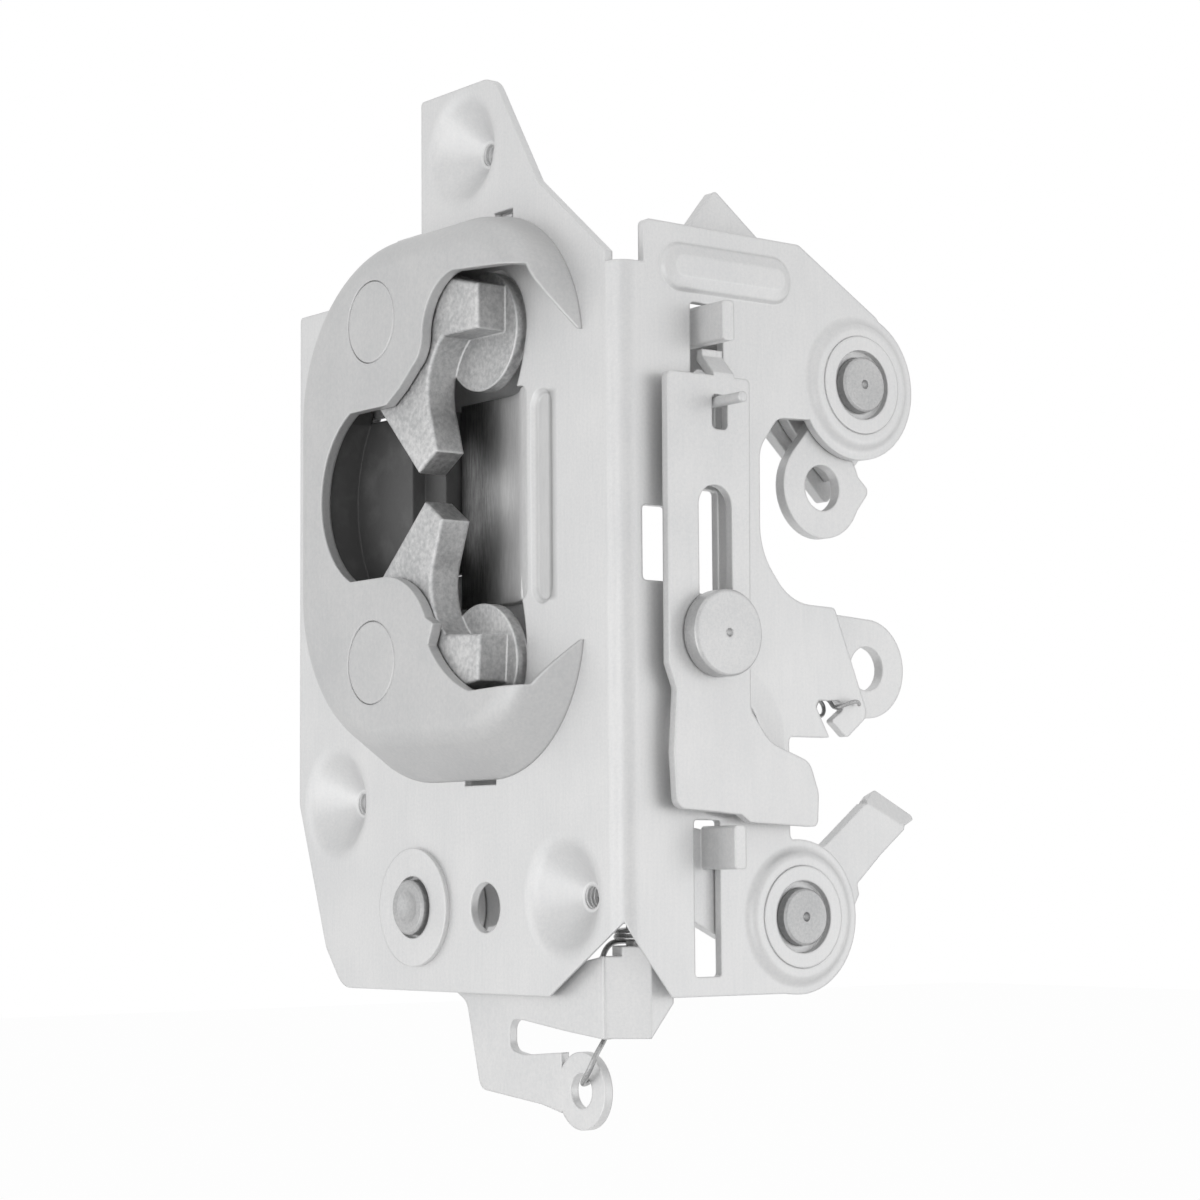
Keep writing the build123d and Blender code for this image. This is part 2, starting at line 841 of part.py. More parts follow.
def pawl_body(side):
    """Pawl behind the face plate, with its nose bent forward against the hub of the claw."""
    pivot = (pawl_pivot_x, side * pawl_pivot_z)
    nose_right = claw_pivot_x - claw_hub_radius - running_gap
    nose_left = nose_right - pawl_nose_depth
    tip = ((nose_left + nose_right) / 2, side * claw_pivot_z)
    tail = (pawl_pivot_x, side * (pawl_tail_end + pawl_half_width))
    with BuildSketch(face_plane(pawl_back)) as shape:
        for start, end in ((pivot, tip), (pivot, tail)):
            SlotCenterPoint(
                ((start[0] + end[0]) / 2, (start[1] + end[1]) / 2), end, 2 * pawl_half_width
            )
    extrude(shape.sketch, amount=pawl_sheet)
    block(
        face_plane(pawl_back),
        (nose_left, side * claw_pivot_z - pawl_nose_half),
        (nose_right, side * claw_pivot_z + pawl_nose_half),
        pawl_back - fork_back + pawl_nose_reach,
    )
    disc(
        face_plane(pawl_back + 1),
        pivot,
        pawl_stud_radius + bore_clearance,
        pawl_sheet + 2,
        Mode.SUBTRACT,
    )


with BuildPart() as upper_pawl:
    pawl_body(1)

with BuildPart() as lower_pawl:
    pawl_body(-1)


def pawl_stud(side):
    """Stud of a pawl, flush with the outer face of the plate."""
    centre = (pawl_pivot_x, side * pawl_pivot_z)
    disc(face_plane(pawl_back + running_gap), centre, pawl_stud_radius, pawl_back + running_gap)
    disc(face_plane(pawl_back + running_gap + 1.8), centre, pawl_stud_head, 1.8)


with BuildPart() as upper_pawl_stud:
    pawl_stud(1)

with BuildPart() as lower_pawl_stud:
    pawl_stud(-1)

# Bush and pin of the transfer lever
transfer_centre = (transfer_x, transfer_z)
with BuildPart() as transfer_bush:
    disc(face_plane(0), transfer_centre, transfer_boss_radius, transfer_boss_height)
    bush_end = transfer_front - running_gap
    disc(face_plane(bush_end), transfer_centre, transfer_boss_radius - 2, bush_end)
    disc(
        face_plane(transfer_front),
        transfer_centre,
        transfer_pin_radius + bore_clearance,
        transfer_front + 2 * transfer_boss_height,
        Mode.SUBTRACT,
    )
    disc(face_plane(0.4), transfer_centre, transfer_recess_radius, 3, Mode.SUBTRACT)

with BuildPart() as transfer_pin:
    pin_end = transfer_back + running_gap
    disc(face_plane(pin_end), transfer_centre, transfer_pin_radius, pin_end + transfer_boss_height + 1.4)
    disc(face_plane(pin_end + pin_head_height), transfer_centre, pin_head_radius, pin_head_height)
    chamfer(transfer_pin.edges().group_by(Axis.Y)[0], 0.5)
    with Locations((transfer_x, -transfer_boss_height - 1.4 - 8.2, transfer_z)):
        Sphere(9.0, mode=Mode.SUBTRACT)

with BuildPart() as transfer_lever:
    arm_end = (pawl_pivot_x - 8.5, 0.0)
    with BuildSketch(face_plane(transfer_back)):
        with Locations(transfer_centre):
            Circle(transfer_hub_radius)
        for far_end in (arm_end, (50.0, -84.0)):
            SlotCenterPoint(
                ((transfer_x + far_end[0]) / 2, (transfer_z + far_end[1]) / 2),
                far_end,
                2 * transfer_half_width,
            )
    extrude(amount=lever_sheet)
    tab_right = pawl_pivot_x - pawl_half_width - running_gap
    block(
        face_plane(transfer_back),
        (tab_right - tab_sheet, -transfer_tab_half),
        (tab_right, transfer_tab_half),
        transfer_back - pawl_front,
    )
    disc(
        face_plane(transfer_back + 1),
        transfer_centre,
        transfer_pin_radius + bore_clearance,
        lever_sheet + 2,
        Mode.SUBTRACT,
    )


def side_bush(centre):
    """Bush in a boss of the side plate, with a shallow recess round the pin."""
    disc(side_plane(side_inner), centre, bush_radius, sheet + boss_rise + 0.25)
    disc(side_plane(side_inner - 1), centre, side_pin_radius + bore_clearance, 10, Mode.SUBTRACT)
    disc(
        side_plane(side_face + boss_rise + 0.25 - bush_recess_depth),
        centre,
        bush_recess_radius,
        bush_recess_depth + 1,
        Mode.SUBTRACT,
    )


def side_pin(centre, inner_end, shoulder_inner):
    """Pivot pin with an inner head, a shoulder behind the side plate and a punched outer end."""
    outer_end = side_face + boss_rise + pin_proud
    disc(side_plane(inner_end), centre, side_pin_radius, outer_end - inner_end)
    disc(side_plane(inner_end - pin_head_height), centre, pin_head_radius, pin_head_height)
    if side_inner - shoulder_inner > 1:
        disc(side_plane(shoulder_inner), centre, pin_head_radius, side_inner - shoulder_inner)


with BuildPart() as upper_pivot_bush:
    side_bush((upper_pin_y, upper_pin_z))

with BuildPart() as lower_pivot_bush:
    side_bush((lower_pin_y, lower_pin_z))

with BuildPart() as upper_pivot_pin:
    side_pin((upper_pin_y, upper_pin_z), release_inner - running_gap, eye_hub_outer + running_gap)
    chamfer(upper_pivot_pin.edges().group_by(Axis.X)[-1], 0.5)
    with Locations((side_face + boss_rise + pin_proud, upper_pin_y, upper_pin_z)):
        Sphere(1.0, mode=Mode.SUBTRACT)

with BuildPart() as lower_pivot_pin:
    side_pin((lower_pin_y, lower_pin_z), lever_inner - running_gap, side_inner)
    chamfer(lower_pivot_pin.edges().group_by(Axis.X)[-1], 0.5)
    with Locations((side_face + boss_rise + pin_proud, lower_pin_y, lower_pin_z)):
        Sphere(1.0, mode=Mode.SUBTRACT)

# Slider outside the side plate
slot_half = guide_radius + guide_side_gap
tongue_outer = side_face + 0.6
with BuildPart() as slider:
    plate(
        side_plane(slider_inner),
        [
            (9.4, slider_top),
            (slider_right, slider_top),
            (30.8, -51.0),
            (36.0, -57.6),
            (47.0, -61.5),
            (49.4, -68.0),
            (49.0, -75.2),
            (30.5, -74.3),
            (28.0, -72.7),
            (11.0, -71.5),
            (10.3, -60.0),
            (11.2, -47.0),
            (9.2, -42.0),
        ],
        [1.2, 1.2, 4, 8, 4, 4, 1.5, 0.8, 0.8, 2.5, 4, 2, 2],
        sheet,
    )
    block(
        side_plane(slider_inner - 1),
        (guide_y - slot_half, guide_z - slot_half - 1.2),
        (guide_y + slot_half, slider_slot_top),
        sheet + 2,
        Mode.SUBTRACT,
        slot_half - 0.1,
    )
    block(
        side_plane(slider_inner - 1),
        (link_pin_y - link_pin_radius - link_pin_play, link_pin_z - slider_travel - 0.8),
        (link_pin_y + link_pin_radius + link_pin_sweep, link_pin_z + link_pin_radius + link_pin_play),
        sheet + 2,
        Mode.SUBTRACT,
        1.2,
    )
    # Tongue that steps inward through the slot, under the tab of the release lever
    with BuildSketch(Plane.XZ.offset(-tongue_right)):
        with BuildLine():
            Polyline(
                (slider_outer, slider_top - 1.5),
                (slider_outer, slider_top + 0.7),
                (tongue_outer, release_tab_bottom - 2.0),
                (tongue_outer, release_tab_bottom - 0.6),
                (tongue_outer - sheet, release_tab_bottom - 0.6),
                (tongue_outer - sheet, release_tab_bottom - 2.8),
                (slider_inner, slider_top - 0.2),
                (slider_inner, slider_top - 1.5),
                close=True,
            )
        make_face()
    extrude(amount=tongue_right - tongue_left)

with BuildPart() as guide_stud:
    guide_centre = (guide_y, guide_z)
    stud_inner = lever_inner - running_gap
    disc(side_plane(stud_inner), guide_centre, guide_radius, slider_outer + running_gap - stud_inner)
    disc(side_plane(slider_outer + running_gap), guide_centre, button_radius, button_height)
    disc(side_plane(side_face), guide_centre, collar_radius, slider_lift - running_gap)
    disc(side_plane(stud_inner - 1.8), guide_centre, collar_radius, 1.8)
    chamfer(guide_stud.edges().group_by(Axis.X)[-1], 0.5)
    with Locations((slider_outer + running_gap + button_height, guide_y, guide_z)):
        Sphere(0.9, mode=Mode.SUBTRACT)

# Lever with the eye for the outer handle
with BuildPart() as eye_lever:
    with BuildSketch(side_plane(lever_inner)):
        with Locations((eye_y, eye_z)):
            Circle(eye_radius)
        outline(
            [(55.6, 12.7), (71.3, -1.6), (64.0, -10.6), (eye_y, eye_z), (49.2, 5.5)],
            [1, 1.5, 0.5, 0, 0],
        )
    extrude(amount=lever_sheet)
    plate(
        side_plane(lever_inner - eye_step),
        [(55.6, 12.7), (66.6, 2.7), (64.2, 0.4), (53.4, 9.9)],
        0.4,
        eye_step,
    )
    with BuildSketch(side_plane(eye_hub_inner)):
        with Locations((upper_pin_y, upper_pin_z)):
            Circle(lever_hub_radius)
        outline(
            [
                (74.5, 30.0),
                (43.0, 51.8),
                (31.0, 60.8),
                (21.0, 48.5),
                (53.4, 9.9),
                (64.2, 0.4),
                (75.0, 10.5),
            ],
            [3, 3, 1, 4, 1, 1, 3],
        )
    extrude(amount=lever_sheet)
    disc(
        side_plane(eye_hub_inner - 1),
        (upper_pin_y, upper_pin_z),
        side_pin_radius + bore_clearance,
        lever_sheet + 2,
        Mode.SUBTRACT,
    )
    disc(side_plane(eye_hub_inner - 1), (eye_y, eye_z), eye_hole_radius, 10, Mode.SUBTRACT)

# Lever whose tab presses the slider down
with BuildPart() as release_lever:
    with BuildSketch(side_plane(release_inner)):
        with Locations((upper_pin_y, upper_pin_z)):
            Circle(lever_hub_radius)
        outline(
            [
                (58.0, 33.0),
                (33.0, 36.8),
                (27.0, 33.4),
                (19.0, 34.5),
                (18.5, 9.0),
                (26.5, 9.0),
                (26.8, 23.6),
                (47.0, 12.0),
                (64.4, -4.2),
                (76.5, 8.5),
            ],
            [4, 3, 2, 1, 2, 2, 2, 3, 1.2, 3],
        )
    extrude(amount=lever_sheet)
    block(
        side_plane(release_outer),
        (release_tab_y, release_tab_bottom),
        (release_tab_y + tab_sheet, release_tab_top),
        side_face + release_tab_proud - release_outer,
        radius=tab_corner,
    )
    disc(
        side_plane(release_inner - 1),
        (upper_pin_y, upper_pin_z),
        side_pin_radius + bore_clearance,
        lever_sheet + 2,
        Mode.SUBTRACT,
    )
    disc(
        side_plane(release_inner - 1),
        (link_pin_y, link_pin_z),
        link_pin_radius + bore_clearance,
        lever_sheet + 2,
        Mode.SUBTRACT,
    )

with BuildPart() as link_pin:
    disc(
        side_plane(release_inner - 0.8),
        (link_pin_y, link_pin_z),
        link_pin_radius,
        slider_outer + link_pin_proud - release_inner + 0.8,
    )
    disc(side_plane(release_inner - 1.8), (link_pin_y, link_pin_z), 2.4, 1.8)
    chamfer(link_pin.edges().group_by(Axis.X)[-1], 0.35)

# Lever with the side lug, on the inner end of the guide stud
with BuildPart() as lug_lever:
    with BuildSketch(side_plane(lever_inner)):
        with Locations(guide_centre):
            Circle(button_radius)
        with Locations((lug_y, lug_z)):
            Circle(lug_radius)
        outline(
            [
                (guide_y, guide_z + button_radius),
                (lug_y, lug_z + lug_radius),
                (lug_y, lug_z - 8),
                (60.0, -46.5),
                (guide_y, guide_z - button_radius),
            ],
            0.5,
        )
    extrude(amount=lever_sheet)
    disc(
        side_plane(lever_inner - 1),
        guide_centre,
        guide_radius + bore_clearance,
        lever_sheet + 2,
        Mode.SUBTRACT,
    )
    disc(side_plane(lever_inner - 1), (lug_y, lug_z), lug_hole_radius, lever_sheet + 2, Mode.SUBTRACT)

# Lever at the bottom of the side plate
bend_start = (68.8, -69.9)
bend_end = (80.5, -75.2)
with BuildPart() as lower_lever:
    with BuildSketch(side_plane(lever_inner)):
        with Locations((lower_pin_y, lower_pin_z)):
            Circle(lever_hub_radius)
        outline(
            [
                (46.0, -80.5),
                (56.5, -79.4),
                bend_start,
                bend_end,
                (73.2, -80.8),
                (66.0, -87.2),
                (66.5, -89.5),
                (63.0, -95.5),
                (50.0, -105.0),
                (28.0, -98.4),
                (20.0, -94.5),
                (20.0, -75.2),
            ],
            [2, 6, 0.4, 0.4, 8, 1, 0.5, 3, 4, 3, 1, 1],
        )
    extrude(amount=lever_sheet)
    # Finger tip, bent along a slanted line
    along = Vector(0, bend_end[0] - bend_start[0], bend_end[1] - bend_start[1])
    bend_axis = Axis((lever_inner + lever_sheet / 2, bend_start[0], bend_start[1]), along)
    tip_normal = Vector(1, 0, 0).rotate(Axis((0, 0, 0), along), -tip_bend)
    tip_plane = Plane(
        Vector(*bend_axis.position) - tip_normal * (lever_sheet / 2), x_dir=along, z_dir=tip_normal
    )
    with BuildSketch(tip_plane):
        outline([(0.2, 0.0), (along.length - 0.2, 0.0), (16.3, 3.9), (2.9, 4.7)], [0.3, 0.3, 0.8, 1.5])
    extrude(amount=lever_sheet)
    bend_trim = along.normalized() * 0.4
    with BuildSketch(Plane(bend_axis.position + bend_trim, x_dir=(1, 0, 0), z_dir=along)):
        Circle(lever_sheet / 2)
    extrude(amount=along.length - 2 * bend_trim.length)
    block(
        side_plane(lever_outer),
        (lower_tab_y, lower_tab_bottom),
        (lower_tab_y + tab_sheet, lower_tab_top),
        side_face + lower_tab_proud - lever_outer,
        radius=tab_corner,
    )
    disc(
        side_plane(lever_inner - 1),
        (lower_pin_y, lower_pin_z),
        side_pin_radius + bore_clearance,
        lever_sheet + 2,
        Mode.SUBTRACT,
    )

# Corner lever: a folded sheet that turns on an upright pin
corner_low = -118.3
corner_bend = 57.0
corner_return = corner_front + corner_side_x - corner_bend
with BuildPart() as corner_lever:
    with BuildSketch(face_plane(corner_front + corner_sheet)):
        outline(
            [
                (3.0, -105.0),
                (39.0, -105.0),
                (44.0, -103.0),
                (50.0, -102.8),
                (57.5, -101.5),
                (57.5, -118.4),
                (44.0, -117.1),
                (30.0, -115.4),
                (24.7, -115.2),
                (24.7, -121.8),
                (30.0, -122.6),
                (43.0, -121.6),
                (43.0, -134.0),
                (36.0, -132.6),
                (14.0, -130.5),
                (9.0, -112.0),
                (3.0, -109.0),
            ],
            [1, 3, 2, 2, 0, 0, 2, 2, 2.5, 2.5, 2, 0, 0, 3, 3, 4, 1],
        )
        with Locations((corner_lug_x, corner_lug_z)):
            Circle(corner_lug_radius)
    extrude(amount=corner_sheet)
    with BuildSketch(Plane.XY.offset(corner_low)):
        with BuildLine():
            Polyline(
                (corner_bend, corner_front),
                (corner_side_x, corner_return),
                (corner_side_x, 16.0),
                (corner_side_x - corner_sheet, 16.0),
                (corner_side_x - corner_sheet, corner_return + 0.4 * corner_sheet),
                (corner_bend - 0.4 * corner_sheet, corner_front + corner_sheet),
                (corner_bend - 0.4 * corner_sheet, corner_front),
                close=True,
            )
        make_face()
    extrude(amount=flange_top - corner_sheet - corner_low)
    with BuildSketch(Plane.XY.offset(flange_top - corner_sheet)):
        outline(
            [
                (corner_bend + 3.0, corner_front + 3.0),
                (corner_side_x, corner_return),
                (corner_side_x, 17.0),
                (53.5, 17.0),
                (53.5, 8.5),
                (56.0, 6.5),
            ],
            [0, 0, 0, 2, 1, 1],
        )
    extrude(amount=corner_sheet)
    # Slanted lower edge of the side wall
    with BuildSketch(side_plane(corner_side_x - 3 * corner_sheet)):
        with BuildLine():
            Polyline((9.5, -119.0), (17.0, -110.0), (17.0, -119.0), close=True)
        make_face()
    extrude(amount=5 * corner_sheet, mode=Mode.SUBTRACT)
    disc(
        face_plane(corner_front + corner_sheet + 1),
        (corner_lug_x, corner_lug_z),
        corner_lug_hole,
        corner_sheet + 2,
        Mode.SUBTRACT,
    )
    with BuildSketch(Plane.XY.offset(flange_top - corner_sheet - 1)):
        with Locations((corner_pin_x, corner_pin_y)):
            Circle(corner_pin_radius + bore_clearance)
    extrude(amount=corner_sheet + 2, mode=Mode.SUBTRACT)

with BuildPart() as corner_pin:
    with BuildSketch(Plane.XY.offset(flange_top - corner_sheet - running_gap)):
        with Locations((corner_pin_x, corner_pin_y)):
            Circle(corner_pin_radius)
    extrude(amount=bracket_lug_bottom + bracket_sheet - flange_top + corner_sheet + running_gap)
    with BuildSketch(Plane.XY.offset(flange_top - corner_sheet - running_gap - 1.5)):
        with Locations((corner_pin_x, corner_pin_y)):
            Circle(corner_pin_head)
    extrude(amount=1.5)
    with BuildSketch(Plane.XY.offset(bracket_lug_bottom + bracket_sheet)):
        with Locations((corner_pin_x, corner_pin_y)):
            Circle(corner_pin_head)
    extrude(amount=1.2)

with BuildPart() as pin_bracket:
    with BuildSketch(Plane.XY.offset(bracket_lug_bottom)):
        outline([(53.6, 9.3), (side_inner, 9.3), (side_inner, 16.5), (53.6, 16.5)], [0.5, 0, 0, 3])
    extrude(amount=bracket_sheet)
    with BuildSketch(Plane.XY.offset(bracket_lug_bottom)):
        with Locations((side_inner - bracket_sheet / 2, 12.9)):
            Rectangle(bracket_sheet, 7.2)
    extrude(amount=9.0)
    with BuildSketch(Plane.XY.offset(bracket_lug_bottom - 1)):
        with Locations((corner_pin_x, corner_pin_y)):
            Circle(corner_pin_radius + bore_clearance)
    extrude(amount=bracket_sheet + 2, mode=Mode.SUBTRACT)


def wire(points, radius):
    """Round wire along a smooth path through points."""
    with BuildLine() as path:
        Spline(*points)
    with BuildSketch(path.line ^ 0) as shape:
        Circle(radius)
    sweep(shape.sketch, path=path.line)


# Spring on the upright pin, with its long leg hooked through the lug
coil_bottom = flange_top + wire_radius + running_gap
coil_rise = (bracket_lug_bottom - flange_top - 2 * wire_radius - 2 * running_gap) / coil_turns
coil_points = []
for step in range(int(coil_turns * points_per_turn), -1, -1):
    turn = step / points_per_turn
    around = polar((corner_pin_x, corner_pin_y), coil_radius, 180 - 360 * turn)
    coil_points.append((around[0], around[1], coil_bottom + coil_rise * turn))
leg_points = [
    (51.9, 9.5, -99.1),
    (51.9, 7.3, -101.6),
    (53.0, 6.4, -107.0),
    (54.0, 6.2, -113.0),
    (55.0, 5.4, -117.6),
    (55.8, 3.6, -119.8),
    (56.2, 1.9, -121.4),
    (55.2, 1.4, -124.0),
    (52.6, 1.6, -126.6),
    (50.5, 3.0, -127.7),
    (49.9, 5.0, -127.4),
    (50.1, 6.6, -125.6),
    (50.2, 6.8, -122.6),
]
with BuildPart() as corner_spring:
    wire(coil_points + leg_points, wire_radius)

# Spring of the lug lever, hooked over the side plate in its notch
hook_wire = 0.45
hook_coil_radius = 1.9
hook_y = 57.4
hook_z = -49.3
hook_inner = lever_inner - 0.8
hook_start_angle = 120
hook_turns = 1.2
hook_rise = 3.4
hook_points = [(hook_inner, 43.0, -42.5), (hook_inner, 48.0, -45.0), (hook_inner, 53.0, -47.2)]
for step in range(int(hook_turns * points_per_turn) + 1):
    share = step / (hook_turns * points_per_turn)
    around = polar((hook_y, hook_z), hook_coil_radius, hook_start_angle - 360 * hook_turns * share)
    hook_points.append((hook_inner + hook_rise * share, around[0], around[1]))
hook_points += [(66.9, 58.9, -49.3), (68.8, 59.8, -49.1), (68.9, 64.4, -48.7)]
with BuildPart() as hook_spring:
    wire(hook_points, hook_wire)

pieces = {
    "frame": frame,
    "claw_cover": claw_cover,
    "upper_claw": upper_claw,
    "lower_claw": lower_claw,
    "upper_claw_stud": upper_claw_stud,
    "lower_claw_stud": lower_claw_stud,
    "back_plate": back_plate,
    "striker_buffer": striker_buffer,
    "upper_pawl": upper_pawl,
    "lower_pawl": lower_pawl,
    "upper_pawl_stud": upper_pawl_stud,
    "lower_pawl_stud": lower_pawl_stud,
    "transfer_bush": transfer_bush,
    "transfer_pin": transfer_pin,
    "transfer_lever": transfer_lever,
    "upper_pivot_bush": upper_pivot_bush,
    "lower_pivot_bush": lower_pivot_bush,
    "upper_pivot_pin": upper_pivot_pin,
    "lower_pivot_pin": lower_pivot_pin,
    "slider": slider,
    "guide_stud": guide_stud,
    "eye_lever": eye_lever,
    "release_lever": release_lever,
    "link_pin": link_pin,
    "lug_lever": lug_lever,
    "lower_lever": lower_lever,
    "corner_lever": corner_lever,
    "corner_pin": corner_pin,
    "pin_bracket": pin_bracket,
    "corner_spring": corner_spring,
    "hook_spring": hook_spring,
}
for name, piece in pieces.items():
    piece.part.label = name
    export_step(piece.part, "parts/" + name + ".step")
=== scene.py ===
import json
from math import pi

import bpy
from mathutils import Matrix, Vector


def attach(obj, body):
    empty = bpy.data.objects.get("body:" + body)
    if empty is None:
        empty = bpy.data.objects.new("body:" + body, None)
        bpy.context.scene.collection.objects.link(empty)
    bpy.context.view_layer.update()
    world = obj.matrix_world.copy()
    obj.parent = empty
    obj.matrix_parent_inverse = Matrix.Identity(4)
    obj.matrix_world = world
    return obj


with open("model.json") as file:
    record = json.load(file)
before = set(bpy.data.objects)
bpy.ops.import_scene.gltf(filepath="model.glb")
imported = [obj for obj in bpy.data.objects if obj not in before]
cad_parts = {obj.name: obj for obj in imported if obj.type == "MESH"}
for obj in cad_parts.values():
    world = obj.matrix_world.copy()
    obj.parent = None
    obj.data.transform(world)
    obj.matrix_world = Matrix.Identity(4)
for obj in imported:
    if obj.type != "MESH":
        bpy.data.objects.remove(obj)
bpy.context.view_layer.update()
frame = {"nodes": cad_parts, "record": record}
print("latch loaded with", len(frame["nodes"]), "pieces")

cameraSettings = {
    "place": (0.5468, -0.3751, -0.0857),
    "right": (0.6107, 0.7918, -0.0073),
    "up": (0.0776, -0.0507, 0.9957),
    "lens": 90.09,
    "sensor": 36.0,
}


def addCamera(settings):
    right = Vector(settings["right"]).normalized()
    up = Vector(settings["up"])
    up = (up - right * up.dot(right)).normalized()
    turn = Matrix((right, up, right.cross(up))).transposed().to_4x4()
    data = bpy.data.cameras.new("photoView")
    data.lens = settings["lens"]
    data.sensor_width = settings["sensor"]
    data.clip_start = 0.01
    camera = bpy.data.objects.new("photoView", data)
    camera.matrix_world = Matrix.Translation(settings["place"]) @ turn
    bpy.context.scene.collection.objects.link(camera)
    bpy.context.scene.camera = camera


addCamera(cameraSettings)
print("camera placed")


class Wire:
    # a shader socket that takes part in plain arithmetic
    def __init__(self, paint, socket):
        self.paint = paint
        self.socket = socket

    def combine(self, operation, first, second):
        return self.paint.node("Math", {"operation": operation}, {0: first, 1: second})

    def __add__(self, other):
        return self.combine("ADD", self, other)

    def __radd__(self, other):
        return self.combine("ADD", other, self)

    def __sub__(self, other):
        return self.combine("SUBTRACT", self, other)

    def __rsub__(self, other):
        return self.combine("SUBTRACT", other, self)

    def __mul__(self, other):
        return self.combine("MULTIPLY", self, other)

    def __rmul__(self, other):
        return self.combine("MULTIPLY", other, self)

    def __truediv__(self, other):
        return self.combine("DIVIDE", self, other)

    def __rtruediv__(self, other):
        return self.combine("DIVIDE", other, self)

    def __pow__(self, other):
        return self.combine("POWER", self, other)

    def atLeast(self, other):
        return self.combine("MAXIMUM", self, other)


class Paint:
    # a node tree built node by node, for a material or the world
    def __init__(self, owner):
        self.owner = owner
        owner.use_nodes = True
        self.tree = owner.node_tree
        self.tree.nodes.clear()

    def node(self, kind, settings=None, links=None, output=0):
        made = self.tree.nodes.new("ShaderNode" + kind)
        for key, value in (settings or {}).items():
            if key == "stops":
                self.setStops(made.color_ramp, value)
            else:
                setattr(made, key, value)
        for key, value in (links or {}).items():
            if isinstance(value, Wire):
                self.tree.links.new(value.socket, made.inputs[key])
            else:
                made.inputs[key].default_value = value
        return Wire(self, made.outputs[output]) if len(made.outputs) else None

    def setStops(self, ramp, stops):
        while len(ramp.elements) < len(stops):
            ramp.elements.new(0.5)
        for element, (place, level) in zip(ramp.elements, stops):
            element.position = place
            element.color = (level, level, level, 1.0)

    def spot(self, scale=(1.0, 1.0, 1.0), turn=(0.0, 0.0, 0.0)):
        where = self.node("TexCoord", output="Object")
        return self.node("Mapping", links={"Vector": where, "Scale": scale, "Rotation": turn})

    def noise(self, where, scale, detail=4.0, rough=0.55):
        links = {"Vector": where, "Scale": scale, "Detail": detail, "Roughness": rough}
        return self.node("TexNoise", links=links)

    def spread(self, value, low, high, newLow=0.0, newHigh=1.0):
        links = {"Value": value, "From Min": low, "From Max": high, "To Min": newLow, "To Max": newHigh}
        return self.node("MapRange", {"clamp": True}, links)

    def blend(self, share, first, second):
        return self.node("Mix", {"data_type": "RGBA"}, {0: share, 6: first, 7: second}, output=2)


def grey(level, warmth=0.0):
    return (level + warmth, level, level - warmth, 1.0)


# each plated finish: levels of the zinc, grain size in 1/m, roughness, corner rounding in m,
# strength of bump and pits, share of rolling streaks and how far it reflects as bare metal
finishSettings = {
    "plate_steel": {
        "level": 0.76, "dark": 0.68, "grain": 1500.0, "rough": 0.46, "corner": 0.00065,
        "bump": 0.14, "pits": 0.10, "rolled": 0.20, "metal": 0.55,
    },
    "cover_steel": {
        "level": 0.62, "dark": 0.54, "grain": 1300.0, "rough": 0.46, "corner": 0.00075,
        "bump": 0.12, "pits": 0.08, "rolled": 0.12, "metal": 0.60,
    },
    "claw_steel": {
        "level": 0.66, "dark": 0.42, "grain": 950.0, "rough": 0.48, "corner": 0.00080,
        "bump": 0.34, "pits": 0.30, "rolled": 0.0, "metal": 0.90,
    },
    "lever_steel": {
        "level": 0.76, "dark": 0.67, "grain": 1500.0, "rough": 0.44, "corner": 0.00065,
        "bump": 0.12, "pits": 0.10, "rolled": 0.15, "metal": 0.50,
    },
    "pin_steel": {
        "level": 0.52, "dark": 0.38, "grain": 1500.0, "rough": 0.44, "corner": 0.00040,
        "bump": 0.28, "pits": 0.30, "rolled": 0.0, "metal": 0.90,
    },
    "spring_steel": {
        "level": 0.46, "dark": 0.30, "grain": 2500.0, "rough": 0.30, "corner": 0.00005,
        "bump": 0.05, "pits": 0.05, "rolled": 0.0, "metal": 1.0,
    },
    "button_steel": {
        "level": 0.60, "dark": 0.48, "grain": 1600.0, "rough": 0.42, "corner": 0.00060,
        "bump": 0.18, "pits": 0.18, "rolled": 0.0, "metal": 0.90,
    },
}
# marks on the frame, each in a box (a painted highlight and wear with painted shade on the tongue,
# painted shade in the groove):
# low and high corner in m, the fades along each axis, levels of the marked steel, how far it covers and
# how far it reflects as bare metal
frameMarks = {
    # painted highlight: the tongue near the mouth's right edge painted almost white, with less metal
    "tonguePaintedHighlight": {
        "low": (0.0200, 0.0002, -0.0266),
        "high": (0.0364, 0.0060, 0.0196),
        "fade": (0.0010, 0.0004, 0.0020),
        "level": 0.95, "dark": 0.88, "cover": 0.95, "metal": 0.50,
    },
    # the tongue painted dark: brushed wear from the striker together with painted shade and dark
    # reflection
    "tongueWearAndShade": {
        "low": (0.0030, 0.0008, -0.0266),
        "high": (0.0290, 0.0120, 0.0196),
        "fade": (0.0170, 0.0010, 0.0004),
        "level": 0.20, "dark": 0.09, "cover": 0.95, "metal": 1.0,
    },
    # painted shade: the floor of the groove painted darker
    "grooveFloorShade": {
        "low": (0.0376, 0.0006, -0.0280),
        "high": (0.0448, 0.0016, 0.0180),
        "fade": (0.0006, 0.0003, 0.0010),
        "level": 0.54, "dark": 0.46, "cover": 0.50, "metal": 0.60,
    },
    "grooveShade": {
        "low": (0.0430, -0.0004, -0.0276),
        "high": (0.0468, 0.0016, 0.0176),
        "fade": (0.0026, 0.0003, 0.0010),
        "level": 0.26, "dark": 0.18, "cover": 0.68, "metal": 0.60,
    },
}


